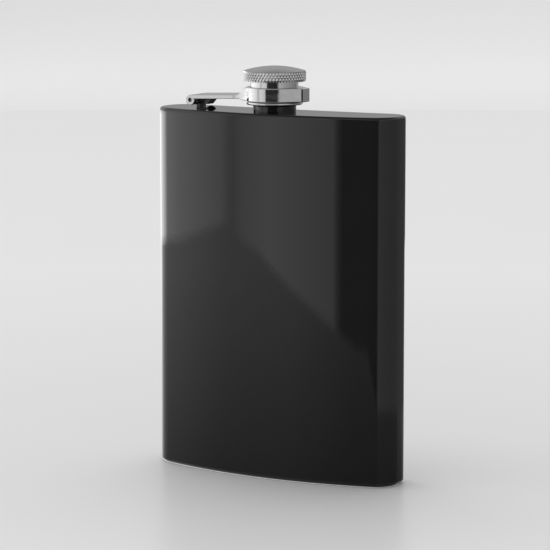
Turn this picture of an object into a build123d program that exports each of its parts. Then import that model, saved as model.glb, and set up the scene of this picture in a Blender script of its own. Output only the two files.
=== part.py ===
"""Hip flask with a captive, hinged screw cap. Millimetres, +Z up.

The origin is the middle of the base, on the surface the flask stands on, straight under the
neck's axis. The convex front faces -Y and the hollow back faces +Y. The hinge is on the -X side.
"""
import os
from math import acos, asin, atan2, cos, radians, sin, sqrt

from build123d import *

# ---- Body ----
BODY_HEIGHT = 124.0
BODY_WIDTH = 92.4
BODY_DEPTH = 23.0            # front to back on the middle line
FRONT_RADIUS = 142.0         # the convex front
BACK_RADIUS = 440.0          # the slightly hollow back
FRONT_CORNER = 9.4
BACK_CORNER = 7.9
SHEET = 0.6                  # sheet steel of the shells and plates
TRAY_DEPTH = 3.0             # height of the skirt on the top and base plates
TOP_EDGE = 1.0               # outside radius round the top plate
BASE_EDGE = 1.2
SEAM_Y = 4.0                 # where the front and back shells are welded, at both narrow ends

# ---- Neck ----
NECK_RADIUS = 7.3            # plain collar that shows under the cap
NECK_COLLAR = 2.2            # height of that collar above the top plate
NECK_ROOT = 6.15             # thread root
NECK_CREST = 6.6             # thread crest
NECK_BORE = 5.2
NECK_RIM = 11.2              # height of the mouth above the top plate
NECK_SHOULDER = 8.4          # flange inside the body, behind the top plate
NECK_SHOULDER_T = 0.8
THREAD_PITCH = 2.0
THREAD_START = 2.9
THREAD_TURNS = 3

# ---- Cap ----
HEAD_RADIUS = 10.65
HEAD_BOTTOM = 10.3           # heights are above the top plate
HEAD_SHOULDER = 13.75
HEAD_APEX = 15.4
HEAD_BEVEL = 0.15
SLEEVE_RADIUS = 8.05
SLEEVE_BORE = 7.65           # root of the female thread
SLEEVE_CREST = 7.4           # crest of the female thread
SLEEVE_TOP = 12.45           # the sleeve is pressed this far up into the head
LIP_BOTTOM = 2.45
LIP_TOP = 3.5
LIP_RADIUS = 9.65
SEAL_THICKNESS = 1.0
SEAL_RADIUS = SLEEVE_RADIUS

# ---- Arm ----
RING_BOTTOM = 3.65
RING_TOP = 8.3
RING_INNER = 8.35
RING_OUTER = 9.7
RING_CHAMFER = 0.3
TAB_REACH = 12.33            # thumb tab, on the side away from the hinge
TAB_WIDTH = 4.3
TAB_ROOT = (11.75, 2.36)     # corner where the ring's straight sides end, x and half width
ARM_WIDTH = 11.5
WIDE_START = -13.8           # where the strap begins to spread, seen from above
WIDE_RADIUS = 20.0
WIDE_MIDDLE = -10.5
WIDE_END = -7.1
STRAP_THICKNESS = 1.4
STRAP_SLOPE = 2.3            # degrees, the strap climbs from the hinge to the ring
FLARE_START = -10.9          # where the strap begins to thicken towards the ring
FLARE_KNEE = (-9.7, 6.4)     # x and height of the bend in its upper edge
FLARE_TOP = (-8.4, 8.0)
FLARE_FOOT = (-8.6, 3.85)
FLARE_UNDER = -10.6

# ---- Hinge ----
HINGE_X = -30.1
HINGE_H = 3.05               # pin axis above the top plate
KNUCKLE_RADIUS = 1.75
PIN_RADIUS = 0.6
PIN_CLEARANCE = 0.05
PIN_RECESS = 0.55            # the pin stops this far inside each end of the barrel
BRACKET_WIDTH = 3.9
KNUCKLE_GAP = 0.1
STEM_X = (-29.85, -28.4)
LUG_BOTTOM = 1.55
LUG_GAP = 0.15               # under the strap when the cap is shut
LUG_FOOT_X = -25.4           # lower corner of the lug's slanted end
LUG_TOP_X = -23.65
FOOT_THICKNESS = 0.4
BOSS_X = -25.1
BOSS_RADIUS = 1.75
BOSS_HEIGHT = 1.0


def arc_rise(radius, x):
    """How far an arc of this radius has curved away at x from its crown."""
    return radius - sqrt(radius**2 - x**2)


def body_section(inset=0.0):
    """The kidney-shaped section of the body, drawn this far inside its outer surface."""
    half = BODY_WIDTH / 2 - inset
    front_radius = FRONT_RADIUS - inset
    back_radius = BACK_RADIUS + inset
    front_y = -BODY_DEPTH / 2 + inset
    back_y = BODY_DEPTH / 2 - inset
    front_end = front_y + arc_rise(front_radius, half)
    back_end = back_y + arc_rise(back_radius, half)
    with BuildSketch() as section:
        with BuildLine():
            ThreePointArc((-half, front_end), (0, front_y), (half, front_end))
            Line((half, front_end), (half, back_end))
            ThreePointArc((half, back_end), (0, back_y), (-half, back_end))
            Line((-half, back_end), (-half, front_end))
        make_face()
        corners = section.vertices().sort_by(Axis.Y)
        fillet(corners[:2], FRONT_CORNER - inset)
        corners = [v for v in section.vertices() if v.Y > back_end - 0.01]
        fillet(corners, BACK_CORNER - inset)
    return section.sketch


def body_prism(inset, bottom, top):
    return Pos(0, 0, bottom) * extrude(body_section(inset), top - bottom)


def round_end(solid, axis_end, radius):
    """Round the whole rim of a prism at its top (1) or bottom (-1) face."""
    face = solid.faces().sort_by(Axis.Z)[-1 if axis_end > 0 else 0]
    return fillet(face.edges(), radius)


def wall():
    """The band of sheet between the top and base plates, still in one piece."""
    bottom = TRAY_DEPTH
    top = BODY_HEIGHT - TRAY_DEPTH
    return body_prism(0, bottom, top) - body_prism(SHEET, bottom, top)


def half_wall(side):
    """One shell: side is -1 for the front and 1 for the back."""
    reach = BODY_WIDTH
    cutter = Pos(0, SEAM_Y + side * reach / 2, BODY_HEIGHT / 2) * Box(2 * reach, reach, BODY_HEIGHT)
    return wall() & cutter


def top_plate():
    bottom = BODY_HEIGHT - TRAY_DEPTH
    outer = round_end(body_prism(0, bottom, BODY_HEIGHT), 1, TOP_EDGE)
    inner = round_end(body_prism(SHEET, bottom, BODY_HEIGHT - SHEET), 1, TOP_EDGE - SHEET)
    hole = Pos(0, 0, BODY_HEIGHT) * Cylinder(NECK_RADIUS, 4 * SHEET)
    return outer - inner - hole


def base_plate():
    outer = round_end(body_prism(0, 0, TRAY_DEPTH), -1, BASE_EDGE)
    inner = round_end(body_prism(SHEET, SHEET, TRAY_DEPTH), -1, BASE_EDGE - SHEET)
    return outer - inner


def turned(points):
    """A turned part: (radius, height above the top plate) points swept round the neck's axis."""
    profile = make_face(Polyline(*points, close=True))
    profile = Plane.XZ * profile
    return Pos(0, 0, BODY_HEIGHT) * revolve(profile, Axis.Z, 360)


def thread_points(root, crest, start, turns, pitch=THREAD_PITCH):
    """Trapezoid ridges, one for each turn, going up from start."""
    points = []
    for turn in range(turns):
        base = start + turn * pitch
        points += [
            (root, base),
            (crest, base + 0.3 * pitch),
            (crest, base + 0.55 * pitch),
            (root, base + 0.85 * pitch),
        ]
    return points


def neck():
    under_plate = -SHEET
    bottom = under_plate - NECK_SHOULDER_T
    outside = [
        (NECK_BORE, bottom),
        (NECK_SHOULDER, bottom),
        (NECK_SHOULDER, under_plate),
        (NECK_RADIUS, under_plate),
        (NECK_RADIUS, NECK_COLLAR - 0.2),
        (NECK_RADIUS - 0.2, NECK_COLLAR),
        (NECK_ROOT, NECK_COLLAR),
    ]
    threads = thread_points(NECK_ROOT, NECK_CREST, THREAD_START, THREAD_TURNS)
    rim = [
        (NECK_ROOT, NECK_RIM - 0.35),
        (NECK_ROOT - 0.35, NECK_RIM),
        (NECK_BORE + 0.25, NECK_RIM),
        (NECK_BORE, NECK_RIM - 0.25),
    ]
    return turned(outside + threads + rim)


def cap_insert():
    """Threaded sleeve with the lip that keeps the arm's ring on the cap."""
    outside = [
        (SLEEVE_CREST + 0.35, LIP_BOTTOM),
        (LIP_RADIUS - 0.3, LIP_BOTTOM),
        (LIP_RADIUS, LIP_BOTTOM + 0.3),
        (LIP_RADIUS, LIP_TOP - 0.35),
        (LIP_RADIUS - 0.35, LIP_TOP),
        (SLEEVE_RADIUS, LIP_TOP),
        (SLEEVE_RADIUS, SLEEVE_TOP - SEAL_THICKNESS),
        (SLEEVE_BORE, SLEEVE_TOP - SEAL_THICKNESS),
    ]
    threads = thread_points(SLEEVE_BORE, SLEEVE_CREST, LIP_BOTTOM + 0.9, THREAD_TURNS)
    return turned(outside + list(reversed(threads)) + [(SLEEVE_BORE, LIP_BOTTOM + 0.25)])


def cap_head():
    """Knurled head, drawn plain at the crests of its knurl, with a low domed top."""
    seat = SLEEVE_TOP
    rim = HEAD_RADIUS - HEAD_BEVEL
    rise = HEAD_APEX - HEAD_SHOULDER
    dome_radius = (rim**2 + rise**2) / (2 * rise)
    half_angle = asin(rim / dome_radius) / 2
    middle = (dome_radius * sin(half_angle), HEAD_APEX - dome_radius * (1 - cos(half_angle)))
    with BuildSketch(Plane.XZ) as profile:
        with BuildLine():
            Polyline(
                (0, HEAD_APEX),
                (0, seat),
                (SLEEVE_RADIUS, seat),
                (SLEEVE_RADIUS, HEAD_BOTTOM),
                (rim, HEAD_BOTTOM),
                (HEAD_RADIUS, HEAD_BOTTOM + HEAD_BEVEL),
                (HEAD_RADIUS, HEAD_SHOULDER - HEAD_BEVEL),
                (rim, HEAD_SHOULDER),
            )
            ThreePointArc((rim, HEAD_SHOULDER), middle, (0, HEAD_APEX))
        make_face()
    return Pos(0, 0, BODY_HEIGHT) * revolve(profile.sketch, Axis.Z, 360)


def seal():
    """Soft washer in the top of the cap, just over the neck's rim."""
    top = SLEEVE_TOP
    bottom = top - SEAL_THICKNESS
    disc = [(0, bottom), (SEAL_RADIUS, bottom), (SEAL_RADIUS, top), (0, top)]
    return turned(disc)


def side_profile(points, width):
    """Extrude (x, height above the top plate) points along Y, centred on the hinge's middle."""
    face = make_face(Polyline(*points, close=True))
    face = Plane.XZ * face
    block = extrude(face, width / 2, both=True)
    return Pos(0, 0, BODY_HEIGHT) * block


def hinge_barrel(radius, length):
    return Pos(HINGE_X, 0, BODY_HEIGHT + HINGE_H) * Rot(90, 0, 0) * Cylinder(radius, length)


def strap_top(x):
    return HINGE_H + KNUCKLE_RADIUS + (x - HINGE_X) * sin(radians(STRAP_SLOPE))


def strap_bottom(x):
    return strap_top(x) - STRAP_THICKNESS


def ring_outline():
    """Outside of the ring seen from above: a circle whose straight sides close in on the tab."""
    root_x, root_y = TAB_ROOT
    reach = sqrt(root_x**2 + root_y**2)
    lean = acos(RING_OUTER / reach) + atan2(root_y, root_x)
    touch = (RING_OUTER * cos(lean), RING_OUTER * sin(lean))
    side = [touch, TAB_ROOT, (TAB_REACH, TAB_WIDTH / 2)]
    other_side = [(x, -y) for x, y in reversed(side)]
    return Circle(RING_OUTER) + make_face(Polyline(*side, *other_side, (0, 0), close=True))


def strap_outline():
    """Outside of the strap seen from above: straight, then spreading to meet the ring."""
    half = ARM_WIDTH / 2
    spread = [half + arc_rise(WIDE_RADIUS, x - WIDE_START) for x in (WIDE_MIDDLE, WIDE_END)]
    with BuildSketch() as outline:
        with BuildLine():
            Line((0, -half), (0, half))
            Line((0, half), (WIDE_END, spread[1]))
            ThreePointArc((WIDE_END, spread[1]), (WIDE_MIDDLE, spread[0]), (WIDE_START, half))
            Line((WIDE_START, half), (2 * HINGE_X, half))
            Line((2 * HINGE_X, half), (2 * HINGE_X, -half))
            Line((2 * HINGE_X, -half), (WIDE_START, -half))
            ThreePointArc((WIDE_START, -half), (WIDE_MIDDLE, -spread[0]), (WIDE_END, -spread[1]))
            Line((WIDE_END, -spread[1]), (0, -half))
        make_face()
    return outline.sketch


def arm():
    """Hinged arm: knuckles, strap, a ring round the cap's sleeve, and a thumb tab."""
    ring_height = RING_TOP - RING_BOTTOM
    ring = Pos(0, 0, BODY_HEIGHT + RING_BOTTOM) * extrude(ring_outline(), ring_height)
    ring = chamfer(ring.faces().sort_by(Axis.Z)[-1].edges(), RING_CHAMFER)
    ring = chamfer(ring.faces().sort_by(Axis.Z)[0].edges(), RING_CHAMFER)
    inside_ring = -sqrt(RING_INNER**2 - (ARM_WIDTH / 2) ** 2)
    profile = [
        (HINGE_X, strap_top(HINGE_X)),
        (FLARE_START, strap_top(FLARE_START)),
        FLARE_KNEE,
        FLARE_TOP,
        (inside_ring, FLARE_TOP[1]),
        (inside_ring, FLARE_FOOT[1]),
        FLARE_FOOT,
        (FLARE_UNDER, strap_bottom(FLARE_UNDER)),
        (HINGE_X, strap_bottom(HINGE_X)),
    ]
    strap = side_profile(profile, 2 * ARM_WIDTH)
    strap &= Pos(0, 0, BODY_HEIGHT) * extrude(strap_outline(), RING_TOP)
    body = ring + strap + hinge_barrel(KNUCKLE_RADIUS, ARM_WIDTH)
    bore = Pos(0, 0, BODY_HEIGHT + RING_BOTTOM) * Cylinder(RING_INNER, 4 * ring_height)
    slot_end = HINGE_X + KNUCKLE_RADIUS + 0.3
    slot = Pos(slot_end - 5, 0, BODY_HEIGHT + HINGE_H) * Box(10, BRACKET_WIDTH + 2 * KNUCKLE_GAP, 10)
    return body - bore - slot - hinge_barrel(PIN_RADIUS + PIN_CLEARANCE, 2 * ARM_WIDTH)


def hinge_bracket():
    """Bent strip welded to the top plate: foot, stem, middle knuckle and the lug under the strap."""
    knuckle = hinge_barrel(KNUCKLE_RADIUS, BRACKET_WIDTH)
    left, right = STEM_X
    stem = side_profile([(left, 0), (right, 0), (right, HINGE_H), (left, HINGE_H)], BRACKET_WIDTH)
    lug_start = HINGE_X + 1.2
    lug = side_profile(
        [
            (HINGE_X, LUG_BOTTOM + 0.1),
            (LUG_FOOT_X, LUG_BOTTOM),
            (LUG_TOP_X, strap_bottom(LUG_TOP_X) - LUG_GAP),
            (lug_start, strap_bottom(lug_start) - LUG_GAP),
            (HINGE_X, HINGE_H),
        ],
        BRACKET_WIDTH,
    )
    foot = side_profile(
        [(left, 0), (BOSS_X, 0), (BOSS_X, FOOT_THICKNESS), (left, FOOT_THICKNESS)],
        BRACKET_WIDTH,
    )
    dome = (BOSS_RADIUS**2 + BOSS_HEIGHT**2) / (2 * BOSS_HEIGHT)
    ball = Pos(BOSS_X, 0, BODY_HEIGHT + BOSS_HEIGHT - dome) * Sphere(dome)
    cap = Pos(BOSS_X, 0, BODY_HEIGHT + BOSS_HEIGHT / 2) * Cylinder(BOSS_RADIUS, BOSS_HEIGHT)
    bracket = knuckle + stem + lug + foot + (ball & cap)
    return bracket - hinge_barrel(PIN_RADIUS, 2 * BRACKET_WIDTH)


def hinge_pin():
    return hinge_barrel(PIN_RADIUS, ARM_WIDTH - 2 * PIN_RECESS)


PARTS = {
    "front_shell": lambda: half_wall(-1),
    "back_shell": lambda: half_wall(1),
    "top_plate": top_plate,
    "base_plate": base_plate,
    "neck": neck,
    "hinge_bracket": hinge_bracket,
    "hinge_pin": hinge_pin,
    "arm": arm,
    "cap_head": cap_head,
    "cap_insert": cap_insert,
    "seal": seal,
}

os.makedirs("parts", exist_ok=True)
for node, make in PARTS.items():
    export_step(make(), f"parts/{node}.step")
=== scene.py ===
"""Looks of the hip flask. Each CAD node gets a finer mesh in its own place, with its own material.

Shapes are worked out in millimetres, in the CAD frame: +Z up, the origin in the middle of the base,
the convex front towards -Y and the hinge on the -X side. The meshes are stored in metres.
"""
from itertools import product
from math import acos, atan2, ceil, cos, degrees, hypot, pi, radians, sin, sqrt

import bpy
import numpy as np
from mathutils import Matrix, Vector


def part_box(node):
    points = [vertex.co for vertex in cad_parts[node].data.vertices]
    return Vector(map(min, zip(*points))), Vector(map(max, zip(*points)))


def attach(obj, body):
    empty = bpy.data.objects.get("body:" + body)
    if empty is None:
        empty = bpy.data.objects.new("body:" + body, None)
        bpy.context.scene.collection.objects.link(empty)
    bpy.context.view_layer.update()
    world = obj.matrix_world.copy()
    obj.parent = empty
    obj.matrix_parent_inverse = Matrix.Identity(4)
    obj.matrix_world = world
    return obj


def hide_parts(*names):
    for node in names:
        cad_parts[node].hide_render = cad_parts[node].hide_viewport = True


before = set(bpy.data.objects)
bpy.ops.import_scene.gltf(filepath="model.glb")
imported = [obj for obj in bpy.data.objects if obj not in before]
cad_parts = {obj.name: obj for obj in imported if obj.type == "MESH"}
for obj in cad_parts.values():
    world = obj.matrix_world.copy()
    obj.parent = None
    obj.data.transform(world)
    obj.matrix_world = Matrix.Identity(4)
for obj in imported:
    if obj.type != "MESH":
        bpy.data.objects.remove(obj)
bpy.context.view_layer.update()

MM = 0.001


def box_mm(node):
    low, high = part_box(node)
    return np.array(low) / MM, np.array(high) / MM


# ---- Body, read from the frame where the frame has it ----
wall_low, wall_high = box_mm("front_shell")
BODY_TOP = box_mm("top_plate")[1][2]
HALF_WIDTH = wall_high[0]
HALF_DEPTH = -wall_low[1]
SEAM_Y = wall_high[1]
WALL_BOTTOM = wall_low[2]
WALL_TOP = wall_high[2]
FRONT_RADIUS = 142.0
BACK_RADIUS = 440.0
FRONT_CORNER = 9.4
BACK_CORNER = 7.9
SHEET = 0.6
TOP_EDGE = 1.0
BASE_EDGE = 1.2

# ---- Neck. Heights of the neck, cap, arm and hinge are above the top plate ----
NECK_RADIUS = 7.3
NECK_COLLAR = 2.2
NECK_ROOT = 6.15
NECK_CREST = 6.6
NECK_BORE = 5.2
NECK_RIM = 11.2
NECK_SHOULDER = 8.4
SHOULDER_THICKNESS = 0.8
NECK_EDGE = 0.18               # radius of the collar's and shoulder's edges
RIM_EDGE = 0.3                 # radius of the mouth's edges
THREAD_PITCH = 2.0
THREAD_START = 2.9
THREAD_TURNS = 3
THREAD_FLANK = 0.3             # width of each flank, as a share of the pitch
THREAD_FOOT = 0.85             # where the upper flank ends, as a share of the pitch

# ---- Cap ----
HEAD_RADIUS = box_mm("cap_head")[1][0]
HEAD_BOTTOM = 10.3
HEAD_SHOULDER = 13.75
HEAD_APEX = 15.4
HEAD_BEVEL = 0.15
KNURL_PITCH = 1.13
KNURL_RISE = 1.75              # height of a diamond over its width
KNURL_DEPTH = 0.25
SLEEVE_RADIUS = 8.05
SLEEVE_BORE = 7.65
SLEEVE_CREST = 7.4
SLEEVE_TOP = 12.45
LIP_BOTTOM = 2.45
LIP_TOP = 3.5
LIP_RADIUS = 9.65
LIP_EDGE = 0.5                 # radius of its rounded edges
SLEEVE_CHAMFER = 0.3           # at both ends of the sleeve's bore
SLEEVE_THREAD_START = LIP_BOTTOM + 0.9
SEAL_THICKNESS = 1.0
SEAL_TRACK = 0.9               # half the width of the dent that the neck's rim leaves
SEAL_DENT = 0.05

# ---- Arm ----
RING_BOTTOM = 3.65
RING_TOP = 8.3
RING_INNER = 8.35
RING_OUTER = 9.7
RING_EDGE = 0.28               # radius of its rounded edges
TAB_REACH = box_mm("arm")[1][0]
TAB_WIDTH = 4.3
TAB_ROOT = (11.75, 2.36)
ARM_WIDTH = 11.5
WIDE_START = -13.8
WIDE_RADIUS = 20.0
WIDE_END = -7.1
STRAP_THICKNESS = 1.4
STRAP_SLOPE = 2.3
STRAP_EDGE = 0.16              # radius of its rounded edges
FLARE_START = -10.9
FLARE_KNEE = (-9.7, 6.4)
FLARE_TOP = (-8.4, 8.0)
FLARE_FOOT = (-8.6, 3.85)
FLARE_UNDER = -10.6

# ---- Hinge ----
HINGE_X = -30.1
HINGE_H = 3.05
KNUCKLE_RADIUS = 1.75
PIN_RADIUS = 0.6
PIN_CLEARANCE = 0.05
BRACKET_WIDTH = 3.9
BRACKET_EDGE = 0.12            # radius of its rounded edges
KNUCKLE_GAP = 0.1
STEM_X = (-29.85, -28.4)
LUG_BOTTOM = 1.55
LUG_GAP = 0.15
LUG_FOOT_X = -25.4
LUG_TOP_X = -23.65
LUG_EDGE = 0.14
FOOT_THICKNESS = 0.4
BOSS_X = -25.1
BOSS_RADIUS = 1.75
BOSS_HEIGHT = 1.0

AROUND = 144                 # vertices round a turned part
SHARP = radians(28)          # edges bent more than this stay crisp
GUARD = 0.04                 # a point this far past each rounded corner keeps the straight run true


# ======== Mesh helpers ========
def skin(rings, loop=False, caps=False):
    """Vertices and quads over a list of closed rings that all have the same number of points."""
    count = len(rings[0])
    rows = len(rings)
    faces = []
    for row in range(rows if loop else rows - 1):
        after = (row + 1) % rows
        for i in range(count):
            j = (i + 1) % count
            faces.append((row * count + i, row * count + j, after * count + j, after * count + i))
    if caps:
        faces.append(tuple(reversed(range(count))))
        faces.append(tuple((rows - 1) * count + i for i in range(count)))
    return np.concatenate(rings), faces


def make_piece(name, shape, body, node, materials, normals=None):
    """One mesh in millimetres that rides on a body and stands for a CAD node."""
    vertices, faces = shape
    mesh = bpy.data.meshes.new(name)
    mesh.from_pydata((np.asarray(vertices) * MM).tolist(), [], [tuple(map(int, f)) for f in faces])
    mesh.validate()
    for material in materials:
        mesh.materials.append(material)
    piece = bpy.data.objects.new(name, mesh)
    bpy.context.scene.collection.objects.link(piece)
    mesh.shade_smooth()
    mesh.set_sharp_from_angle(angle=SHARP)
    if normals is not None:
        mesh.normals_split_custom_set_from_vertices(np.asarray(normals).tolist())
    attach(piece, body)
    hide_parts(node)
    return piece


def use_second_material_where(piece, test):
    """Give the second material to the faces whose centre, in millimetres, passes the test."""
    for face in piece.data.polygons:
        face.material_index = int(test(face.center / MM))


def arc(centre, radius, start, end, steps):
    """Points on an arc in a plane, both ends included. Angles in radians."""
    angles = np.linspace(start, end, steps + 1)
    return [(centre[0] + radius * cos(a), centre[1] + radius * sin(a)) for a in angles]


def soften(points, radius, steps=5, closed=True):
    """Round each corner of a polyline by up to this radius."""
    points = [np.array(p, float) for p in points]
    rounded = []
    for i, corner in enumerate(points):
        if not closed and i in (0, len(points) - 1):
            rounded.append(tuple(corner))
            continue
        before = points[i - 1] - corner
        after = points[(i + 1) % len(points)] - corner
        reach_before = hypot(*before)
        reach_after = hypot(*after)
        before = before / reach_before
        after = after / reach_after
        half_angle = np.arccos(np.clip(before @ after, -1, 1)) / 2
        if half_angle > radians(84):
            rounded.append(tuple(corner))
            continue
        setback = min(radius / np.tan(half_angle), 0.45 * reach_before, 0.45 * reach_after)
        fillet = setback * np.tan(half_angle)
        middle = corner + (before + after) / hypot(*(before + after)) * fillet / sin(half_angle)
        first = corner + before * setback - middle
        last = corner + after * setback - middle
        start = atan2(first[1], first[0])
        turn = (atan2(last[1], last[0]) - start + pi) % (2 * pi) - pi
        rounded.append(tuple(corner + before * (setback + GUARD)))
        rounded += arc(middle, fillet, start, start + turn, steps)
        rounded.append(tuple(corner + after * (setback + GUARD)))
    return rounded


def ring_of(radius, height, count=AROUND):
    """A level ring round the neck's axis. The radius may be a function of the angle."""
    angles = np.arange(count) * 2 * pi / count
    reach = radius(angles) if callable(radius) else np.full(count, radius)
    level = np.full(count, BODY_TOP + height)
    return np.stack([reach * np.cos(angles), reach * np.sin(angles), level], axis=1)


# ======== Body ========
def half_outline(inset):
    """Right half of the body's kidney section, from the front's middle round to the back's middle.

    Also returns the index of the point where the two shells meet.
    """
    front_centre = FRONT_RADIUS - HALF_DEPTH
    back_centre = BACK_RADIUS + HALF_DEPTH
    corner_x = HALF_WIDTH - FRONT_CORNER
    corner_y = front_centre - sqrt((FRONT_RADIUS - FRONT_CORNER) ** 2 - corner_x**2)
    rear_x = HALF_WIDTH - BACK_CORNER
    rear_y = back_centre - sqrt((BACK_RADIUS + BACK_CORNER) ** 2 - rear_x**2)
    front_turn = atan2(corner_y - front_centre, corner_x)
    rear_turn = atan2(back_centre - rear_y, -rear_x)
    crown = arc((0, front_centre), FRONT_RADIUS - inset, -pi / 2, front_turn, 60)
    corner = arc((corner_x, corner_y), FRONT_CORNER - inset, front_turn, 0, 40)
    seam = [(HALF_WIDTH - inset, SEAM_Y)]
    rear = arc((rear_x, rear_y), BACK_CORNER - inset, 0, rear_turn, 40)
    hollow = arc((0, back_centre), BACK_RADIUS + inset, rear_turn - pi, -pi / 2, 40)
    points = crown + corner[1:] + seam + rear + hollow[1:]
    points[0] = (0.0, points[0][1])
    points[-1] = (0.0, points[-1][1])
    return np.array(points), len(crown) + len(corner) - 1


def mirrored(points):
    return points[::-1] * (-1, 1)


def full_outline(inset):
    half, _ = half_outline(inset)
    return np.concatenate([half, mirrored(half)[1:-1]])


def outline_ring(inset, height):
    flat = full_outline(inset)
    return np.column_stack([flat, np.full(len(flat), height)])


def circle_ring(radius, height):
    """A circle with one point for each point of the outline, in the same direction from the axis."""
    flat = full_outline(0)
    flat = flat / np.hypot(flat[:, 0], flat[:, 1])[:, None] * radius
    return np.column_stack([flat, np.full(len(flat), height)])


def shell(front):
    """A shell of the wall: sections of the sheet, one for each point along the outline."""
    lines = []
    for inset in (0.0, SHEET):
        half, seam = half_outline(inset)
        if front:
            right = half[: seam + 1]
            lines.append(np.concatenate([mirrored(right), right[1:]]))
        else:
            right = half[seam:]
            lines.append(np.concatenate([right, mirrored(right)[1:]]))
    rows = np.linspace(WALL_BOTTOM, WALL_TOP, 25)
    rings = []
    for outer, inner in zip(*lines):
        outside = [(outer[0], outer[1], z) for z in rows]
        inside = [(inner[0], inner[1], z) for z in rows[::-1]]
        rings.append(np.array(outside + inside))
    return skin(rings, caps=True)


def edge_rings(edge, inset, level, outward):
    """Rings that carry a skirt round its rounded edge onto a level face. Outward is 1 up, -1 down."""
    centre = level - outward * edge
    rings = [outline_ring(inset, centre - outward * 0.1)]
    for angle in np.linspace(0, pi / 2, 13):
        rings.append(outline_ring(inset + edge * (1 - cos(angle)), centre + outward * edge * sin(angle)))
    rings.append(outline_ring(inset + edge + 0.1, level))
    return rings


def between(first, last, steps):
    """Rings part of the way from the first to the last, without those two."""
    return [first + (last - first) * t for t in np.linspace(0, 1, steps + 1)[1:-1]]


def top_plate():
    """Tray with its skirt down, and the neck's hole in the middle."""
    outer = [outline_ring(0, WALL_TOP)] + edge_rings(TOP_EDGE, 0, BODY_TOP, 1)
    hole_top = circle_ring(NECK_RADIUS, BODY_TOP)
    under = BODY_TOP - SHEET
    hole_under = circle_ring(NECK_RADIUS, under)
    inner = edge_rings(TOP_EDGE - SHEET, SHEET, under, 1)[::-1] + [outline_ring(SHEET, WALL_TOP)]
    rings = outer + between(outer[-1], hole_top, 6) + [hole_top, hole_under]
    rings += between(hole_under, inner[0], 6) + inner
    return skin(rings, loop=True)


def base_plate():
    """Tray with its skirt up."""
    outer = [outline_ring(0, WALL_BOTTOM)] + edge_rings(BASE_EDGE, 0, 0.0, -1)
    inner = edge_rings(BASE_EDGE - SHEET, SHEET, SHEET, -1)[::-1] + [outline_ring(SHEET, WALL_BOTTOM)]
    centre_under = circle_ring(1.0, 0.0)
    centre_inside = circle_ring(1.0, SHEET)
    inside = [centre_inside] + between(centre_inside, inner[0], 6) + inner
    outside = outer + between(outer[-1], centre_under, 6) + [centre_under]
    vertices, faces = skin(inside + outside, caps=True)
    return vertices, [tuple(reversed(face)) for face in faces]


# ======== Turned parts ========
def turned_rings(profile):
    """Rings round the neck's axis from (radius, height above the top plate) points."""
    return [ring_of(radius, height) for radius, height in profile]


def thread_height(height, angles, start):
    """How far the thread stands up, 0 to 1, at a height and at angles round the axis."""
    turn = angles / (2 * pi)
    steps = (height - start) / THREAD_PITCH - turn
    along = np.floor(steps) + turn
    phase = steps % 1
    ridge = np.clip(np.minimum(phase, THREAD_FOOT - phase) / THREAD_FLANK, 0, 1)
    fade = np.clip(np.minimum(along + 0.15, THREAD_TURNS - 0.15 - along) / 0.3, 0, 1)
    return ridge * fade


def thread_rings(bottom, top, root, crest, start):
    """Level rings up a threaded stretch. The crest is inside the root on a female thread."""
    rings = []
    for height in np.linspace(bottom, top, ceil((top - bottom) / 0.1) + 1):
        rings.append(
            ring_of(lambda a, h=height: root + (crest - root) * thread_height(h, a, start), height)
        )
    return rings


def neck():
    """Spout with its flange inside the body, a plain collar and a thread."""
    under = -SHEET
    foot = under - SHOULDER_THICKNESS
    lower = soften(
        [
            (NECK_BORE, foot),
            (NECK_SHOULDER, foot),
            (NECK_SHOULDER, under),
            (NECK_RADIUS, under),
            (NECK_RADIUS, NECK_COLLAR),
            (NECK_ROOT, NECK_COLLAR),
            (NECK_ROOT, THREAD_START),
        ],
        NECK_EDGE,
        closed=False,
    )
    upper = soften(
        [
            (NECK_ROOT, NECK_RIM - 1.0),
            (NECK_ROOT, NECK_RIM),
            (NECK_BORE, NECK_RIM),
            (NECK_BORE, NECK_RIM - 1.0),
        ],
        RIM_EDGE,
        closed=False,
    )
    thread = thread_rings(NECK_COLLAR + 0.4, NECK_RIM - 1.1, NECK_ROOT, NECK_CREST, THREAD_START)
    return skin(turned_rings(lower[:-1]) + thread + turned_rings(upper), loop=True)


def cap_insert():
    """Threaded sleeve with the rounded lip that keeps the arm's ring on the cap."""
    outside = soften(
        [
            (SLEEVE_BORE, LIP_BOTTOM + SLEEVE_CHAMFER),
            (SLEEVE_BORE + SLEEVE_CHAMFER, LIP_BOTTOM),
            (LIP_RADIUS, LIP_BOTTOM),
            (LIP_RADIUS, LIP_TOP),
            (SLEEVE_RADIUS, LIP_TOP),
            (SLEEVE_RADIUS, SLEEVE_TOP - SEAL_THICKNESS),
            (SLEEVE_BORE, SLEEVE_TOP - SEAL_THICKNESS),
            (SLEEVE_BORE, SLEEVE_TOP - SEAL_THICKNESS - SLEEVE_CHAMFER),
        ],
        LIP_EDGE,
        closed=False,
    )
    ends = (LIP_BOTTOM + 0.4, SLEEVE_TOP - SEAL_THICKNESS - 0.4)
    thread = thread_rings(*ends, SLEEVE_BORE, SLEEVE_CREST, SLEEVE_THREAD_START)
    return skin(turned_rings(outside) + thread[::-1], loop=True)


def seal():
    """Soft washer, with a shallow dent where the neck's rim presses on it."""
    top = SLEEVE_TOP
    bottom = top - SEAL_THICKNESS
    edge = SLEEVE_RADIUS - 0.02
    press = NECK_ROOT - 0.5
    profile = [
        (0.2, bottom),
        (press - SEAL_TRACK, bottom),
        (press - 0.5, bottom + SEAL_DENT),
        (press + 0.5, bottom + SEAL_DENT),
        (press + SEAL_TRACK, bottom),
        (edge - 0.1, bottom),
        (edge, bottom + 0.1),
        (edge, top - 0.1),
        (edge - 0.1, top),
        (0.2, top),
    ]
    return skin(turned_rings(profile), caps=True)


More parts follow.
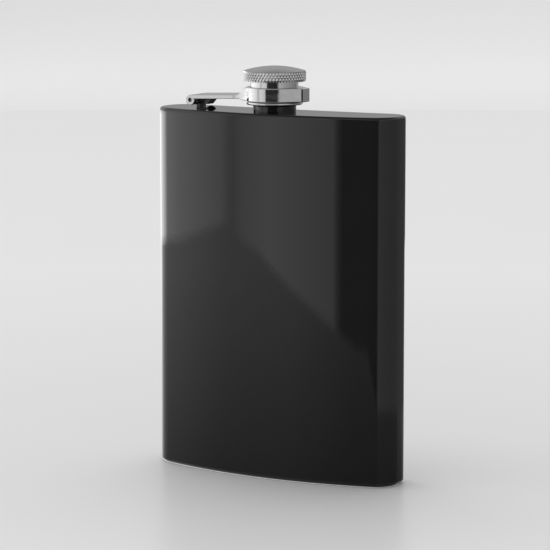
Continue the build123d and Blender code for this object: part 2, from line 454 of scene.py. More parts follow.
def cap_head():
    """Knurled head: a lattice of small pyramids between two diagonal sets of grooves."""
    around = 2 * round(2 * pi * HEAD_RADIUS / KNURL_PITCH)
    rows = ceil((HEAD_SHOULDER - HEAD_BOTTOM) / (KNURL_PITCH * KNURL_RISE / 2))
    rim = HEAD_RADIUS - HEAD_BEVEL
    column = np.arange(around)

    def level(radius, height):
        angles = column * 2 * pi / around
        reach = radius if isinstance(radius, np.ndarray) else np.full(around, radius)
        return np.stack(
            [reach * np.cos(angles), reach * np.sin(angles), np.full(around, BODY_TOP + height)], axis=1
        )

    rings = [level(0.2, SLEEVE_TOP), level(SLEEVE_RADIUS - 0.05, SLEEVE_TOP)]
    rings.append(level(SLEEVE_RADIUS, SLEEVE_TOP - 0.05))
    rings.append(level(SLEEVE_RADIUS, HEAD_BOTTOM + 0.1))
    rings.append(level(SLEEVE_RADIUS + 0.1, HEAD_BOTTOM))
    rings.append(level(rim - 0.15, HEAD_BOTTOM))
    first_knurl = len(rings)
    for row in range(rows + 1):
        height = HEAD_BOTTOM + (HEAD_SHOULDER - HEAD_BOTTOM) * row / rows
        from_edge = min(height - HEAD_BOTTOM, HEAD_SHOULDER - height)
        limit = rim + min(from_edge, HEAD_BEVEL)
        crest = np.where((row + column) % 2 == 1, HEAD_RADIUS, HEAD_RADIUS - KNURL_DEPTH)
        rings.append(level(np.minimum(crest, limit), height))
    last_knurl = len(rings) - 1
    rise = HEAD_APEX - HEAD_SHOULDER
    dome = (rim**2 + rise**2) / (2 * rise)
    for share in np.linspace(0, 1, 41)[:-1] ** 1.5:
        radius = (rim - 0.12) * (1 - share) + 0.1 * share
        rings.append(level(radius, HEAD_APEX - dome + sqrt(dome**2 - radius**2)))
    vertices, faces = skin(rings, caps=True)
    crisp = []
    for face in faces:
        row, i = divmod(face[0], around)
        if len(face) != 4 or not first_knurl <= row < last_knurl:
            crisp.append(face)
        elif (row - first_knurl + i) % 2 == 0:
            crisp += [(face[0], face[1], face[2]), (face[0], face[2], face[3])]
        else:
            crisp += [(face[0], face[1], face[3]), (face[1], face[2], face[3])]
    return vertices, crisp


def hinge_pin():
    """A straight pin with its ends slightly rounded."""
    low, high = box_mm("hinge_pin")
    length = high[1] - low[1]
    end = [(0.08, 0), (PIN_RADIUS - 0.12, 0), (PIN_RADIUS - 0.03, 0.05), (PIN_RADIUS, 0.14)]
    profile = end + [(radius, length - along) for radius, along in reversed(end)]
    angles = np.arange(48) * 2 * pi / 48
    rings = []
    for radius, along in profile:
        x = HINGE_X + radius * np.sin(angles)
        z = BODY_TOP + HINGE_H + radius * np.cos(angles)
        rings.append(np.stack([x, np.full(len(angles), low[1] + along), z], axis=1))
    return skin(rings, caps=True)


# ======== Cast and bent parts: a solid field, then its surface ========
def flat_box(across, along, half_across, half_along, radius):
    """Signed distance to a rounded rectangle from distances across and along it."""
    a = np.abs(across) - half_across + radius
    b = np.abs(along) - half_along + radius
    return np.hypot(np.maximum(a, 0), np.maximum(b, 0)) + np.minimum(np.maximum(a, b), 0) - radius


def block(p, low, high, radius):
    centre = (np.array(low, float) + high) / 2
    q = np.abs(p - centre) - (np.array(high, float) - low) / 2 + radius
    outside = np.sqrt((np.maximum(q, 0) ** 2).sum(-1))
    return outside + np.minimum(q.max(-1), 0) - radius


def upright_cylinder(p, radius, bottom, top, edge):
    reach = np.hypot(p[..., 0], p[..., 1])
    return flat_box(reach, p[..., 2] - (bottom + top) / 2, radius, (top - bottom) / 2, edge)


def barrel(p, radius, length, edge):
    """Cylinder on the hinge's axis."""
    reach = np.hypot(p[..., 0] - HINGE_X, p[..., 2] - HINGE_H)
    return flat_box(reach, p[..., 1], radius, length / 2, edge)


def outline_distance(x, h, points):
    """Signed distance to a polygon in the (x, height) plane."""
    nearest = np.full(x.shape, np.inf)
    inside = np.zeros(x.shape, bool)
    for (ax, ah), (bx, bh) in zip(points, points[1:] + points[:1]):
        ex, eh = bx - ax, bh - ah
        wx, wh = x - ax, h - ah
        t = np.clip((wx * ex + wh * eh) / (ex * ex + eh * eh), 0, 1)
        nearest = np.minimum(nearest, np.hypot(wx - ex * t, wh - eh * t))
        if eh != 0:
            inside ^= ((ah > h) != (bh > h)) & (x < ex * (h - ah) / eh + ax)
    return np.where(inside, -nearest, nearest)


def prism(across, along, edge):
    """Solid from the distances to its outline and to its two end faces, with rounded edges."""
    across = across + edge
    along = along + edge
    outside = np.hypot(np.maximum(across, 0), np.maximum(along, 0))
    return outside + np.minimum(np.maximum(across, along), 0) - edge


def side_profile(p, points, half_width, edge):
    """A polygon in (x, height) drawn out along Y. The half width may change from place to place."""
    return prism(outline_distance(p[..., 0], p[..., 2], points), np.abs(p[..., 1]) - half_width, edge)


def join(a, b, blend):
    """Union with a fillet about this wide where the two meet."""
    h = np.clip(0.5 + 0.5 * (b - a) / blend, 0, 1)
    return b + (a - b) * h - blend * h * (1 - h)


def cut(a, b, blend):
    """Take b away from a, with an edge rounded by about this much."""
    return -join(-a, b, blend)


def strap_top(x):
    return HINGE_H + KNUCKLE_RADIUS + (x - HINGE_X) * sin(radians(STRAP_SLOPE))


def strap_bottom(x):
    return strap_top(x) - STRAP_THICKNESS


def ring_sides():
    """Straight sides that close in from the ring's circle to the tab, and the tab's end, from above."""
    root_x, root_y = TAB_ROOT
    lean = acos(RING_OUTER / hypot(root_x, root_y)) + atan2(root_y, root_x)
    touch = (RING_OUTER * cos(lean), RING_OUTER * sin(lean))
    side = [touch, TAB_ROOT, (TAB_REACH, TAB_WIDTH / 2)]
    return side + [(x, -y) for x, y in reversed(side)]


def strap_half_width(x):
    """The strap is straight, then spreads to meet the ring."""
    along = np.clip(x - WIDE_START, 0, WIDE_END - WIDE_START)
    return ARM_WIDTH / 2 + WIDE_RADIUS - np.sqrt(WIDE_RADIUS**2 - along**2)


def arm_field(p):
    """Ring, tab, strap and knuckles, with the ring's bore, the bracket's slot and the pin's hole cut."""
    collar = upright_cylinder(p, RING_OUTER, RING_BOTTOM, RING_TOP, RING_EDGE)
    level = np.abs(p[..., 2] - (RING_TOP + RING_BOTTOM) / 2) - (RING_TOP - RING_BOTTOM) / 2
    sides = prism(outline_distance(p[..., 0], p[..., 1], ring_sides()), level, RING_EDGE)
    body = np.minimum(collar, sides)
    strap = [
        (HINGE_X, strap_top(HINGE_X)),
        (FLARE_START, strap_top(FLARE_START)),
        FLARE_KNEE,
        FLARE_TOP,
        (-6.0, FLARE_TOP[1]),
        (-6.0, FLARE_FOOT[1]),
        FLARE_FOOT,
        (FLARE_UNDER, strap_bottom(FLARE_UNDER)),
        (HINGE_X, strap_bottom(HINGE_X)),
    ]
    body = join(body, side_profile(p, strap, strap_half_width(p[..., 0]), STRAP_EDGE), 0.35)
    body = join(body, barrel(p, KNUCKLE_RADIUS, ARM_WIDTH, STRAP_EDGE), 0.12)
    body = cut(body, upright_cylinder(p, RING_INNER, RING_BOTTOM - 5, RING_TOP + 5, 0.1), 0.25)
    slot_end = HINGE_X + KNUCKLE_RADIUS + 0.3
    half_slot = BRACKET_WIDTH / 2 + KNUCKLE_GAP
    body = cut(body, block(p, (slot_end - 10, -half_slot, -5), (slot_end, half_slot, 10), 0.3), 0.1)
    return cut(body, barrel(p, PIN_RADIUS + PIN_CLEARANCE, 2 * ARM_WIDTH, 0.1), 0.16)


def bracket_field(p):
    """Foot, stem, knuckle, lug and boss, trimmed flush at the sides and on the top plate."""
    left, right = STEM_X
    half = BRACKET_WIDTH / 2
    stem = block(p, (left, -half, -SHEET), (right, half, HINGE_H), BRACKET_EDGE)
    lug_start = HINGE_X + 1.2
    lug = side_profile(
        p,
        [
            (HINGE_X, LUG_BOTTOM + 0.1),
            (LUG_FOOT_X, LUG_BOTTOM),
            (LUG_TOP_X, strap_bottom(LUG_TOP_X) - LUG_GAP),
            (lug_start, strap_bottom(lug_start) - LUG_GAP),
            (HINGE_X, HINGE_H),
        ],
        half,
        LUG_EDGE,
    )
    foot = block(p, (left, -half, -SHEET), (BOSS_X, half, FOOT_THICKNESS), BRACKET_EDGE)
    dome = (BOSS_RADIUS**2 + BOSS_HEIGHT**2) / (2 * BOSS_HEIGHT)
    offset = p - np.array((BOSS_X, 0, BOSS_HEIGHT - dome))
    boss = np.sqrt((offset**2).sum(-1)) - dome
    body = join(barrel(p, KNUCKLE_RADIUS, BRACKET_WIDTH, BRACKET_EDGE), lug, 0.25)
    body = join(body, stem, 0.3)
    body = join(body, join(foot, boss, 0.2), 0.3)
    body = cut(body, barrel(p, PIN_RADIUS, 2 * ARM_WIDTH, 0.1), 0.08)
    body = np.maximum(body, np.abs(p[..., 1]) - half)
    return np.maximum(body, -p[..., 2])


def surface_of(field, low, high, step):
    """Surface-net mesh of a field's zero level, its points pulled onto it, and its normals."""
    axes = [np.arange(a - 2 * step, b + 3 * step, step) for a, b in zip(low, high)]
    origin = np.array([axis[0] for axis in axes])
    grid = np.stack(np.meshgrid(*axes, indexing="ij"), axis=-1)
    value = field(grid)
    size = tuple(n - 1 for n in value.shape)

    def at(corner):
        return value[tuple(slice(c, c + n) for c, n in zip(corner, size))]

    total = np.zeros(size + (3,))
    crossings = np.zeros(size)
    for axis, corner in product(range(3), product((0, 1), repeat=3)):
        if corner[axis]:
            continue
        end = list(corner)
        end[axis] = 1
        a, b = at(corner), at(end)
        crossed = (a < 0) != (b < 0)
        place = np.zeros(size + (3,)) + corner
        place[..., axis] = a / np.where(crossed, a - b, 1)
        total[crossed] += place[crossed]
        crossings[crossed] += 1
    used = crossings > 0
    index = np.full(size, -1)
    index[used] = np.arange(used.sum())
    points = origin + step * (np.argwhere(used) + total[used] / crossings[used][:, None])
    quads = []
    for axis in range(3):
        u, v = (axis + 1) % 3, (axis + 2) % 3
        start = np.take(value, range(value.shape[axis] - 1), axis)
        end = np.take(value, range(1, value.shape[axis]), axis)
        edges = np.argwhere((start < 0) != (end < 0))
        outward = start[tuple(edges.T)] < 0
        step_u = np.eye(3, dtype=int)[u]
        step_v = np.eye(3, dtype=int)[v]
        cells = [edges - step_u - step_v, edges - step_v, edges, edges - step_u]
        around = np.stack([index[tuple(cell.T)] for cell in cells], axis=1)
        around[~outward] = around[~outward][:, ::-1]
        quads.append(around)

    def slope(places):
        small = 0.02
        sides = []
        for axis in range(3):
            shift = np.eye(3)[axis] * small
            sides.append((field(places + shift) - field(places - shift)) / (2 * small))
        return np.stack(sides, axis=-1)

    for _ in range(5):
        gradient = slope(points)
        steepness = np.maximum((gradient**2).sum(-1), 0.2)
        pull = np.clip(field(points) / steepness, -step / 2, step / 2)
        points = points - gradient * pull[:, None]
    normals = slope(points)
    normals /= np.linalg.norm(normals, axis=1)[:, None]
    return points + (0, 0, BODY_TOP), np.concatenate(quads).tolist(), normals


def field_piece(name, field, node, step, body, materials):
    low, high = box_mm(node)
    lift = np.array((0, 0, BODY_TOP))
    points, quads, normals = surface_of(field, low - lift, high - lift, step)
    return make_piece(name, (points, quads), body, node, materials, normals)


# ======== Materials ========
def add_node(tree, kind, inputs=(), **settings):
    """A shader node. Inputs map a socket's name or number to a value or to another node's socket."""
    node = tree.nodes.new(kind)
    for key, value in settings.items():
        setattr(node, key, value)
    for key, value in dict(inputs).items():
        if isinstance(value, bpy.types.NodeSocket):
            tree.links.new(value, node.inputs[key])
        else:
            node.inputs[key].default_value = value
    return node


def new_material(name, **sockets):
    material = bpy.data.materials.new(name)
    material.use_nodes = True
    tree = material.node_tree
    tree.nodes.clear()
    surface = add_node(tree, "ShaderNodeBsdfPrincipled", sockets)
    output = add_node(tree, "ShaderNodeOutputMaterial")
    tree.links.new(surface.outputs["BSDF"], output.inputs["Surface"])
    return material, tree, surface


def place(tree, scale=(1, 1, 1), rotation=(0, 0, 0)):
    """The object's own coordinates, in metres, stretched and turned."""
    source = add_node(tree, "ShaderNodeTexCoord").outputs["Object"]
    mapping = add_node(tree, "ShaderNodeMapping", {"Vector": source, "Scale": scale, "Rotation": rotation})
    return mapping.outputs["Vector"]


def noise(tree, vector, scale, detail=2.0, rough=0.5):
    inputs = {"Vector": vector, "Scale": scale, "Detail": detail, "Roughness": rough}
    return add_node(tree, "ShaderNodeTexNoise", inputs).outputs["Fac"]


def remap(tree, value, low, high, to_low, to_high):
    inputs = {0: value, 1: low, 2: high, 3: to_low, 4: to_high}
    return add_node(tree, "ShaderNodeMapRange", inputs).outputs[0]


def math(tree, operation, a, b=0.0):
    return add_node(tree, "ShaderNodeMath", {0: a, 1: b}, operation=operation).outputs[0]


def blend_colour(tree, factor, first, second):
    node = add_node(tree, "ShaderNodeMix", {0: factor}, data_type="RGBA")
    for socket, value in ((node.inputs[6], first), (node.inputs[7], second)):
        if isinstance(value, bpy.types.NodeSocket):
            tree.links.new(value, socket)
        else:
            socket.default_value = (*value, 1)
    return node.outputs[2]


def bump(tree, height, distance, strength=1.0, normal=None):
    inputs = {"Height": height, "Distance": distance, "Strength": strength}
    if normal is not None:
        inputs["Normal"] = normal
    return add_node(tree, "ShaderNodeBump", inputs).outputs["Normal"]


def hairlines(tree, across, along, rotation=(0, 0, 0)):
    """Fine straight scratches, 0 to 1: thin across and long along their local X."""
    stretched = noise(tree, place(tree, (along, across, across), rotation), 1.0, 3.0, 0.6)
    return remap(tree, stretched, 0.62, 0.74, 0.0, 1.0)


def gloss_black():
    material, tree, surface = new_material("gloss_black_paint", **{"IOR": 1.6})
    smudges = noise(tree, place(tree), 38.0, 3.0, 0.55)
    peel = noise(tree, place(tree), 700.0, 1.0)
    scratches = hairlines(tree, 9000.0, 110.0, (0.3, 0.2, 0.6))
    height = add_node(tree, "ShaderNodeSeparateXYZ", {0: place(tree)}).outputs[2]
    foot = remap(tree, height, 0.1 * MM, 0.9 * MM, 1.0, 0.0)
    chips = remap(tree, noise(tree, place(tree), 900.0, 4.0, 0.7), 0.52, 0.6, 0.0, 1.0)
    rubbed = math(tree, "MULTIPLY", foot, chips)
    rough = remap(tree, smudges, 0.35, 0.7, 0.008, 0.02)
    rough = math(tree, "ADD", rough, math(tree, "MULTIPLY", scratches, 0.05))
    rough = math(tree, "ADD", rough, math(tree, "MULTIPLY", rubbed, 0.35))
    tint = remap(tree, smudges, 0.3, 0.75, 0.0, 1.0)
    colour = blend_colour(tree, tint, (0.0095, 0.0095, 0.0100), (0.0120, 0.0119, 0.0117))
    colour = blend_colour(tree, math(tree, "MULTIPLY", rubbed, 0.6), colour, (0.055, 0.053, 0.050))
    tree.links.new(colour, surface.inputs["Base Color"])
    tree.links.new(rough, surface.inputs["Roughness"])
    tree.links.new(bump(tree, peel, 0.0000012), surface.inputs["Normal"])
    return material


def bare_steel():
    """Unpainted sheet inside the body, and the neck's bore."""
    material, tree, surface = new_material("bare_steel_inside", **{"Metallic": 1.0})
    grain = noise(tree, place(tree, (400, 400, 5000)), 1.0, 2.0)
    clouds = noise(tree, place(tree), 60.0, 3.0)
    colour = blend_colour(tree, clouds, (0.40, 0.39, 0.38), (0.52, 0.51, 0.50))
    tree.links.new(colour, surface.inputs["Base Color"])
    tree.links.new(remap(tree, grain, 0.3, 0.7, 0.28, 0.45), surface.inputs["Roughness"])
    tree.links.new(bump(tree, grain, 0.00001), surface.inputs["Normal"])
    return material


def polished_steel():
    material, tree, surface = new_material("polished_steel", **{"Metallic": 1.0})
    smudges = noise(tree, place(tree), 160.0, 3.0, 0.6)
    lines = hairlines(tree, 14000.0, 500.0, (0.1, 0.05, 0.5))
    cross_lines = hairlines(tree, 12000.0, 400.0, (0.4, 0.9, 1.9))
    marks = math(tree, "MAXIMUM", lines, cross_lines)
    rough = remap(tree, smudges, 0.35, 0.7, 0.035, 0.085)
    rough = math(tree, "ADD", rough, math(tree, "MULTIPLY", marks, 0.10))
    height = add_node(tree, "ShaderNodeSeparateXYZ", {0: place(tree)}).outputs[2]
    middle = (BODY_TOP + (RING_TOP + RING_BOTTOM) / 2) * MM
    half = (RING_TOP - RING_BOTTOM) / 2 * MM
    from_middle = math(tree, "ABSOLUTE", math(tree, "SUBTRACT", height, middle))
    from_edge = math(tree, "ABSOLUTE", math(tree, "SUBTRACT", from_middle, half))
    nicks = remap(tree, noise(tree, place(tree), 1400.0, 3.0, 0.6), 0.42, 0.62, 0.0, 1.0)
    rubbed = math(tree, "MULTIPLY", remap(tree, from_edge, 0.0, 0.3 * MM, 1.0, 0.0), nicks)
    rough = math(tree, "ADD", rough, math(tree, "MULTIPLY", rubbed, 0.12))
    colour = blend_colour(tree, smudges, (0.80, 0.80, 0.81), (0.72, 0.72, 0.73))
    colour = blend_colour(tree, math(tree, "MULTIPLY", rubbed, 0.5), colour, (0.58, 0.58, 0.59))
    tree.links.new(colour, surface.inputs["Base Color"])
    tree.links.new(rough, surface.inputs["Roughness"])
    wobble = noise(tree, place(tree), 320.0, 1.0)
    shape = bump(tree, wobble, 0.000012)
    tree.links.new(bump(tree, marks, 0.0000015, 1.0, shape), surface.inputs["Normal"])
    return material


def distance_from_axis(tree, vector):
    split = add_node(tree, "ShaderNodeSeparateXYZ", {0: vector})
    square_x = math(tree, "MULTIPLY", split.outputs[0], split.outputs[0])
    square_y = math(tree, "MULTIPLY", split.outputs[1], split.outputs[1])
    return math(tree, "SQRT", math(tree, "ADD", square_x, square_y))


def turned_lines(tree, pitch):
    """Fine rings round the neck's axis, as a lathe leaves them, 0 to 1."""
    vector = place(tree)
    height = add_node(tree, "ShaderNodeSeparateXYZ", {0: vector}).outputs[2]
    reach = distance_from_axis(tree, vector)
    rings = add_node(tree, "ShaderNodeCombineXYZ", {0: reach, 2: height}).outputs[0]
    stretched = add_node(tree, "ShaderNodeVectorMath", {0: rings, 3: 1 / pitch}, operation="SCALE").outputs[0]
    return noise(tree, stretched, 1.0, 2.0, 0.6)


def satin_steel():
    material, tree, surface = new_material("satin_steel", **{"Metallic": 1.0})
    rings = turned_lines(tree, 0.00016)
    clouds = noise(tree, place(tree), 120.0, 3.0, 0.6)
    specks = remap(tree, noise(tree, place(tree), 2600.0, 1.0), 0.62, 0.72, 0.0, 1.0)
    rough = math(tree, "ADD", remap(tree, rings, 0.3, 0.7, 0.24, 0.34), math(tree, "MULTIPLY", clouds, 0.06))
    colour = blend_colour(tree, clouds, (0.56, 0.56, 0.57), (0.48, 0.48, 0.49))
    colour = blend_colour(tree, math(tree, "MULTIPLY", specks, 0.25), colour, (0.34, 0.34, 0.35))
    tree.links.new(colour, surface.inputs["Base Color"])
    tree.links.new(rough, surface.inputs["Roughness"])
    tree.links.new(bump(tree, rings, 0.000006), surface.inputs["Normal"])
    return material


def knurled_steel():
    """Bright facets of the knurl, a little dull where hands have worn their crests, with painted shade
    darkening the grooves.
    """
    material, tree, surface = new_material("knurled_steel", **{"Metallic": 1.0})
    clouds = noise(tree, place(tree), 240.0, 3.0, 0.6)
    grain = noise(tree, place(tree), 5200.0, 2.0, 0.6)
    reach = distance_from_axis(tree, place(tree))
    worn = remap(tree, reach, (HEAD_RADIUS - 0.14) * MM, (HEAD_RADIUS - 0.02) * MM, 0.0, 1.0)
    rough = math(tree, "ADD", remap(tree, grain, 0.3, 0.7, 0.09, 0.17), math(tree, "MULTIPLY", worn, 0.08))
    colour = blend_colour(tree, clouds, (0.80, 0.80, 0.81), (0.68, 0.68, 0.69))
    # Painted shade: the colour darkens towards the bottom of the grooves, where shade falls.
    painted_groove_shade = remap(tree, reach, (HEAD_RADIUS - KNURL_DEPTH) * MM, (HEAD_RADIUS - 0.2) * MM, 0.45, 0.0)
    colour = blend_colour(tree, painted_groove_shade, colour, (0.30, 0.30, 0.30))
    tree.links.new(colour, surface.inputs["Base Color"])
    tree.links.new(rough, surface.inputs["Roughness"])
    tree.links.new(bump(tree, grain, 0.000003), surface.inputs["Normal"])
    return material


def pin_steel():
    material, tree, surface = new_material("pin_steel", **{"Metallic": 1.0})
    rings = noise(tree, place(tree, (300, 9000, 300)), 1.0, 2.0)
    colour = blend_colour(tree, rings, (0.10, 0.10, 0.10), (0.17, 0.17, 0.17))
    tree.links.new(colour, surface.inputs["Base Color"])
    tree.links.new(remap(tree, rings, 0.3, 0.7, 0.3, 0.5), surface.inputs["Roughness"])
    tree.links.new(bump(tree, rings, 0.000008), surface.inputs["Normal"])
    return material


def silicone():
    sockets = {"IOR": 1.41, "Subsurface Weight": 0.15, "Subsurface Scale": 0.001}
    material, tree, surface = new_material("silicone", **sockets)
    grain = noise(tree, place(tree), 1500.0, 3.0)
    clouds = noise(tree, place(tree), 200.0, 2.0)
    colour = blend_colour(tree, clouds, (0.72, 0.72, 0.69), (0.62, 0.61, 0.57))
    tree.links.new(colour, surface.inputs["Base Color"])
    tree.links.new(remap(tree, grain, 0.3, 0.7, 0.45, 0.65), surface.inputs["Roughness"])
    tree.links.new(bump(tree, grain, 0.00001), surface.inputs["Normal"])
    return material


def pale_floor():
    """Pale, with a painted shadow that makes it a little greyer around the flask than far away."""
    material, tree, surface = new_material("pale_floor", **{"Roughness": 0.3})
    clouds = noise(tree, place(tree), 3.0, 2.0)
    colour = blend_colour(tree, clouds, (0.80, 0.80, 0.80), (0.84, 0.84, 0.84))
    # Painted shadow: the floor's colour greys towards the flask's axis, standing in for the shade round its
    # foot.
    painted_shadow_near_flask = remap(tree, distance_from_axis(tree, place(tree)), 0.1, 0.5, 0.5, 0.0)
    colour = blend_colour(tree, painted_shadow_near_flask, colour, (0.60, 0.60, 0.60))
    tree.links.new(colour, surface.inputs["Base Color"])
    return material


# ======== Pieces ========
paint = gloss_black()
inside = bare_steel()
chrome = polished_steel()
satin = satin_steel()
knurl = knurled_steel()
dark_pin = pin_steel()
rubber = silicone()

front = make_piece("wall_front", shell(True), "flask", "front_shell", [paint, inside])
back = make_piece("wall_back", shell(False), "flask", "back_shell", [paint, inside])
top = make_piece("plate_top", top_plate(), "flask", "top_plate", [paint, inside])
base = make_piece("plate_base", base_plate(), "flask", "base_plate", [paint, inside])
spout = make_piece("neck_spout", neck(), "flask", "neck", [paint, inside])
field_piece("bracket_bent", bracket_field, "hinge_bracket", 0.1, "flask", [paint])
make_piece("pin_turned", hinge_pin(), "flask", "hinge_pin", [dark_pin])
field_piece("arm_cast", arm_field, "arm", 0.16, "arm", [chrome])
make_piece("cap_sleeve", cap_insert(), "cap", "cap_insert", [chrome])
head = make_piece("cap_knurled", cap_head(), "cap", "cap_head", [satin, knurl])
make_piece("seal_washer", seal(), "cap", "seal", [rubber])


def on_knurl(centre):
    reach = hypot(centre.x, centre.y)
    return reach > HEAD_RADIUS - KNURL_DEPTH - 0.02 and centre.z < BODY_TOP + HEAD_SHOULDER - 0.01


def in_neck(centre):
    """The bore, the flange inside the body, and everything above the painted collar."""
    reach = hypot(centre.x, centre.y)
    height = centre.z - BODY_TOP
    return reach < NECK_BORE + 0.3 or height < -SHEET - 0.1 or height > NECK_COLLAR + 0.05


def line_inside(piece):
    """Bare steel on the faces of a shell or plate that look into the body."""
    centres = np.array([face.center for face in piece.data.polygons]) / MM
    outline = [tuple(point) for point in full_outline(0)]
    across = outline_distance(centres[:, 0], centres[:, 1], outline)
    depth = np.maximum(across, np.maximum(centres[:, 2] - BODY_TOP, -centres[:, 2]))
    for face, below in zip(piece.data.polygons, depth):
        face.material_index = int(below < -0.75 * SHEET)


use_second_material_where(head, on_knurl)
use_second_material_where(spout, in_neck)
for piece in (front, back, top, base):
    line_inside(piece)


# ======== Studio ========
def make_floor():
    """A wide pale floor that curves up into a backdrop far behind the object."""
    material = pale_floor()
    count = 96
    floor_radius = 1500.0
    wall_rise = 900.0
    flat = [(1.0, 0.0), (300.0, 0.0), (floor_radius, 0.0)]
    cove = [(floor_radius + wall_rise * sin(a), wall_rise * (1 - cos(a))) for a in np.linspace(0, pi / 2, 17)]
    cove.append((floor_radius + wall_rise, 3 * wall_rise))
    angles = np.arange(count) * 2 * pi / count
    for name, profile in (("floor", flat), ("backdrop", cove)):
        rings = [
            np.stack([r * np.cos(angles), r * np.sin(angles), np.full(count, z)], axis=1)
            for r, z in profile
        ]
        vertices, faces = skin(rings)
        if name == "floor":
            faces.append(tuple(range(count)))
        mesh = bpy.data.meshes.new(name)
        mesh.from_pydata((vertices * MM).tolist(), [], faces)
        mesh.materials.append(material)
        mesh.shade_smooth()
        surface = bpy.data.objects.new(name, mesh)
        bpy.context.scene.collection.objects.link(surface)
        surface.visible_glossy = False
        if name == "backdrop":
            surface.visible_diffuse = False
            surface.visible_shadow = False


# Light from the room, as (azimuth, level). Azimuth is in degrees, 0 in front of the flask and 90 on
# its +X side. A big window stands on the left, and the camera's side is dark.
ROOM_BY_THE_BODY = [
    (-180, 0.15), (-158, 0.2), (-150, 1.0), (-118, 3.2), (-95, 3.8), (-80, 3.6), (-72, 2.7),
    (-65, 1.55), (-60, 1.2), (-44, 0.82), (-40, 0.48), (-36, 0.68), (-27, 0.82), (-7, 0.53),
    (-5, 0.08), (40, 0.06), (46, 0.4), (180, 0.15),
]
ROOM_BY_THE_CAP = [
    (-180, 0.4), (-132, 0.4), (-118, 1.08), (-90, 1.08), (-56, 0.92), (-43, 0.72), (-38, 0.42),
    (-33, 0.68), (-29, 0.76), (-9, 0.65), (-5, 0.025), (44, 0.015), (49, 0.3), (55, 0.48),
    (80, 0.35), (155, 0.2), (180, 0.4),
]
TABLE_LIGHT = [
    (-180, 0.6), (-118, 2.1), (-95, 1.15), (-78, 0.84), (-42, 0.46), (-20, 0.42), (0, 0.24),
    (42, 0.22), (50, 0.33), (140, 0.22), (180, 0.6),
]
# How far the table's far edge lies below the horizon, as (azimuth, degrees).
TABLE_EDGE = [
    (-180, 7.5), (-60, 7.45), (-42, 7.1), (-37, 7.45), (-31, 7.7), (-21, 8.4), (0, 9.7),
    (45, 11.0), (180, 11.0),
]
# Elevations, in degrees, over which one part of the surroundings gives way to the next.
CAP_STARTS = (-4.85, -4.65)
CAP_SHADE_ENDS = (12.0, 20.0)
FAR_TABLE_DIMS = (-12.3, -8.0)
NEAR_TABLE_ENDS = (-17.0, -13.0)
UNDERFOOT_ENDS = (-30.0, -22.0)
CEILING_STARTS = (30.0, 52.0)
EDGE_BLUR = 0.14
CAP_SHADE = 0.62
CEILING_LIGHT = 0.12


def by_azimuth(tree, azimuth, stops):
    """A level for each azimuth, as a colour ramp from the stops, times their largest level."""
    node = add_node(tree, "ShaderNodeValToRGB", {0: remap(tree, azimuth, -pi, pi, 0.0, 1.0)})
    scale = max(level for _, level in stops)
    elements = node.color_ramp.elements
    while len(elements) < len(stops):
        elements.new(0.5)
    for element, (degrees_round, level) in zip(elements, stops):
        element.position = (degrees_round + 180) / 360
        element.color = (level / scale,) * 3 + (1,)
    return math(tree, "MULTIPLY", node.outputs[0], scale)


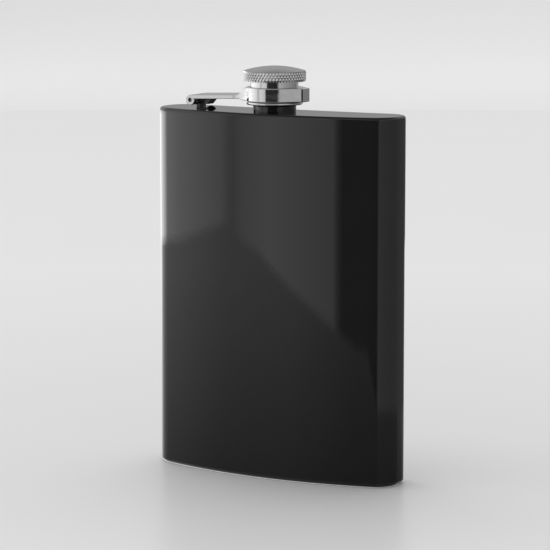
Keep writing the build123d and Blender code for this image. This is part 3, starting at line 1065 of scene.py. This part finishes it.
def light_the_room():
    """Soft studio surroundings, seen in the reflections: the walls, the table and the ceiling."""
    world = bpy.data.worlds.new("studio")
    bpy.context.scene.world = world
    world.use_nodes = True
    tree = world.node_tree
    tree.nodes.clear()
    direction = add_node(tree, "ShaderNodeTexCoord").outputs["Generated"]
    x, y, z = add_node(tree, "ShaderNodeSeparateXYZ", {0: direction}).outputs
    azimuth = math(tree, "ARCTAN2", x, math(tree, "MULTIPLY", y, -1.0))
    elevation = math(tree, "MULTIPLY", math(tree, "ARCSINE", z), degrees(1))

    def rising(limits):
        """0 below the first elevation and 1 above the second."""
        return remap(tree, elevation, *limits, 0.0, 1.0)

    by_the_cap = by_azimuth(tree, azimuth, ROOM_BY_THE_CAP)
    filled = math(tree, "MAXIMUM", by_the_cap, CAP_SHADE)
    by_the_cap = blend_colour(tree, rising(CAP_SHADE_ENDS), by_the_cap, filled)
    by_the_body = by_azimuth(tree, azimuth, ROOM_BY_THE_BODY)
    walls = blend_colour(tree, rising(CAP_STARTS), by_the_body, by_the_cap)
    table = by_azimuth(tree, azimuth, TABLE_LIGHT)
    far_table = math(tree, "MULTIPLY", table, remap(tree, elevation, *FAR_TABLE_DIMS, 0.4, 1.1))
    over_edge = math(tree, "ADD", elevation, by_azimuth(tree, azimuth, TABLE_EDGE))
    light = blend_colour(tree, remap(tree, over_edge, -EDGE_BLUR, EDGE_BLUR, 0.0, 1.0), far_table, walls)
    near_table = math(tree, "ADD", table, 0.12)
    light = blend_colour(tree, rising(NEAR_TABLE_ENDS), near_table, light)
    underfoot = math(tree, "POWER", table, 1.6)
    light = blend_colour(tree, rising(UNDERFOOT_ENDS), underfoot, light)
    light = blend_colour(tree, rising(CEILING_STARTS), light, (CEILING_LIGHT,) * 3)
    background = add_node(tree, "ShaderNodeBackground", {"Color": light, "Strength": 1.0})
    output = add_node(tree, "ShaderNodeOutputWorld")
    tree.links.new(background.outputs[0], output.inputs["Surface"])


def add_overhead_light():
    """A very wide soft light from above, a little to the left. It lights the floor."""
    data = bpy.data.lights.new("overhead", "SUN")
    data.energy = 2.5
    data.angle = radians(80)
    lamp = bpy.data.objects.new("overhead", data)
    lamp.rotation_euler = (radians(-8), radians(-18), 0)
    lamp.visible_glossy = False
    bpy.context.scene.collection.objects.link(lamp)


def set_camera():
    """Slightly above the flask, in front of it and towards its +X side."""
    sideways = radians(30.66)
    down = radians(8.19)
    distance = 937.05
    centre_across = 0.145
    centre_height = 68.35
    right = Vector((cos(sideways), sin(sideways), 0))
    ahead = Vector((-sin(sideways) * cos(down), cos(sideways) * cos(down), -sin(down)))
    target = right * centre_across + Vector((0, 0, centre_height))
    data = bpy.data.cameras.new("camera")
    data.lens = 180.56
    data.sensor_width = 36.0
    data.clip_end = 20.0
    camera = bpy.data.objects.new("camera", data)
    camera.location = (target - ahead * distance) * MM
    camera.rotation_euler = ahead.to_track_quat("-Z", "Y").to_euler()
    bpy.context.scene.collection.objects.link(camera)
    bpy.context.scene.camera = camera


make_floor()
light_the_room()
add_overhead_light()
set_camera()
bpy.context.scene.view_settings.view_transform = "Standard"
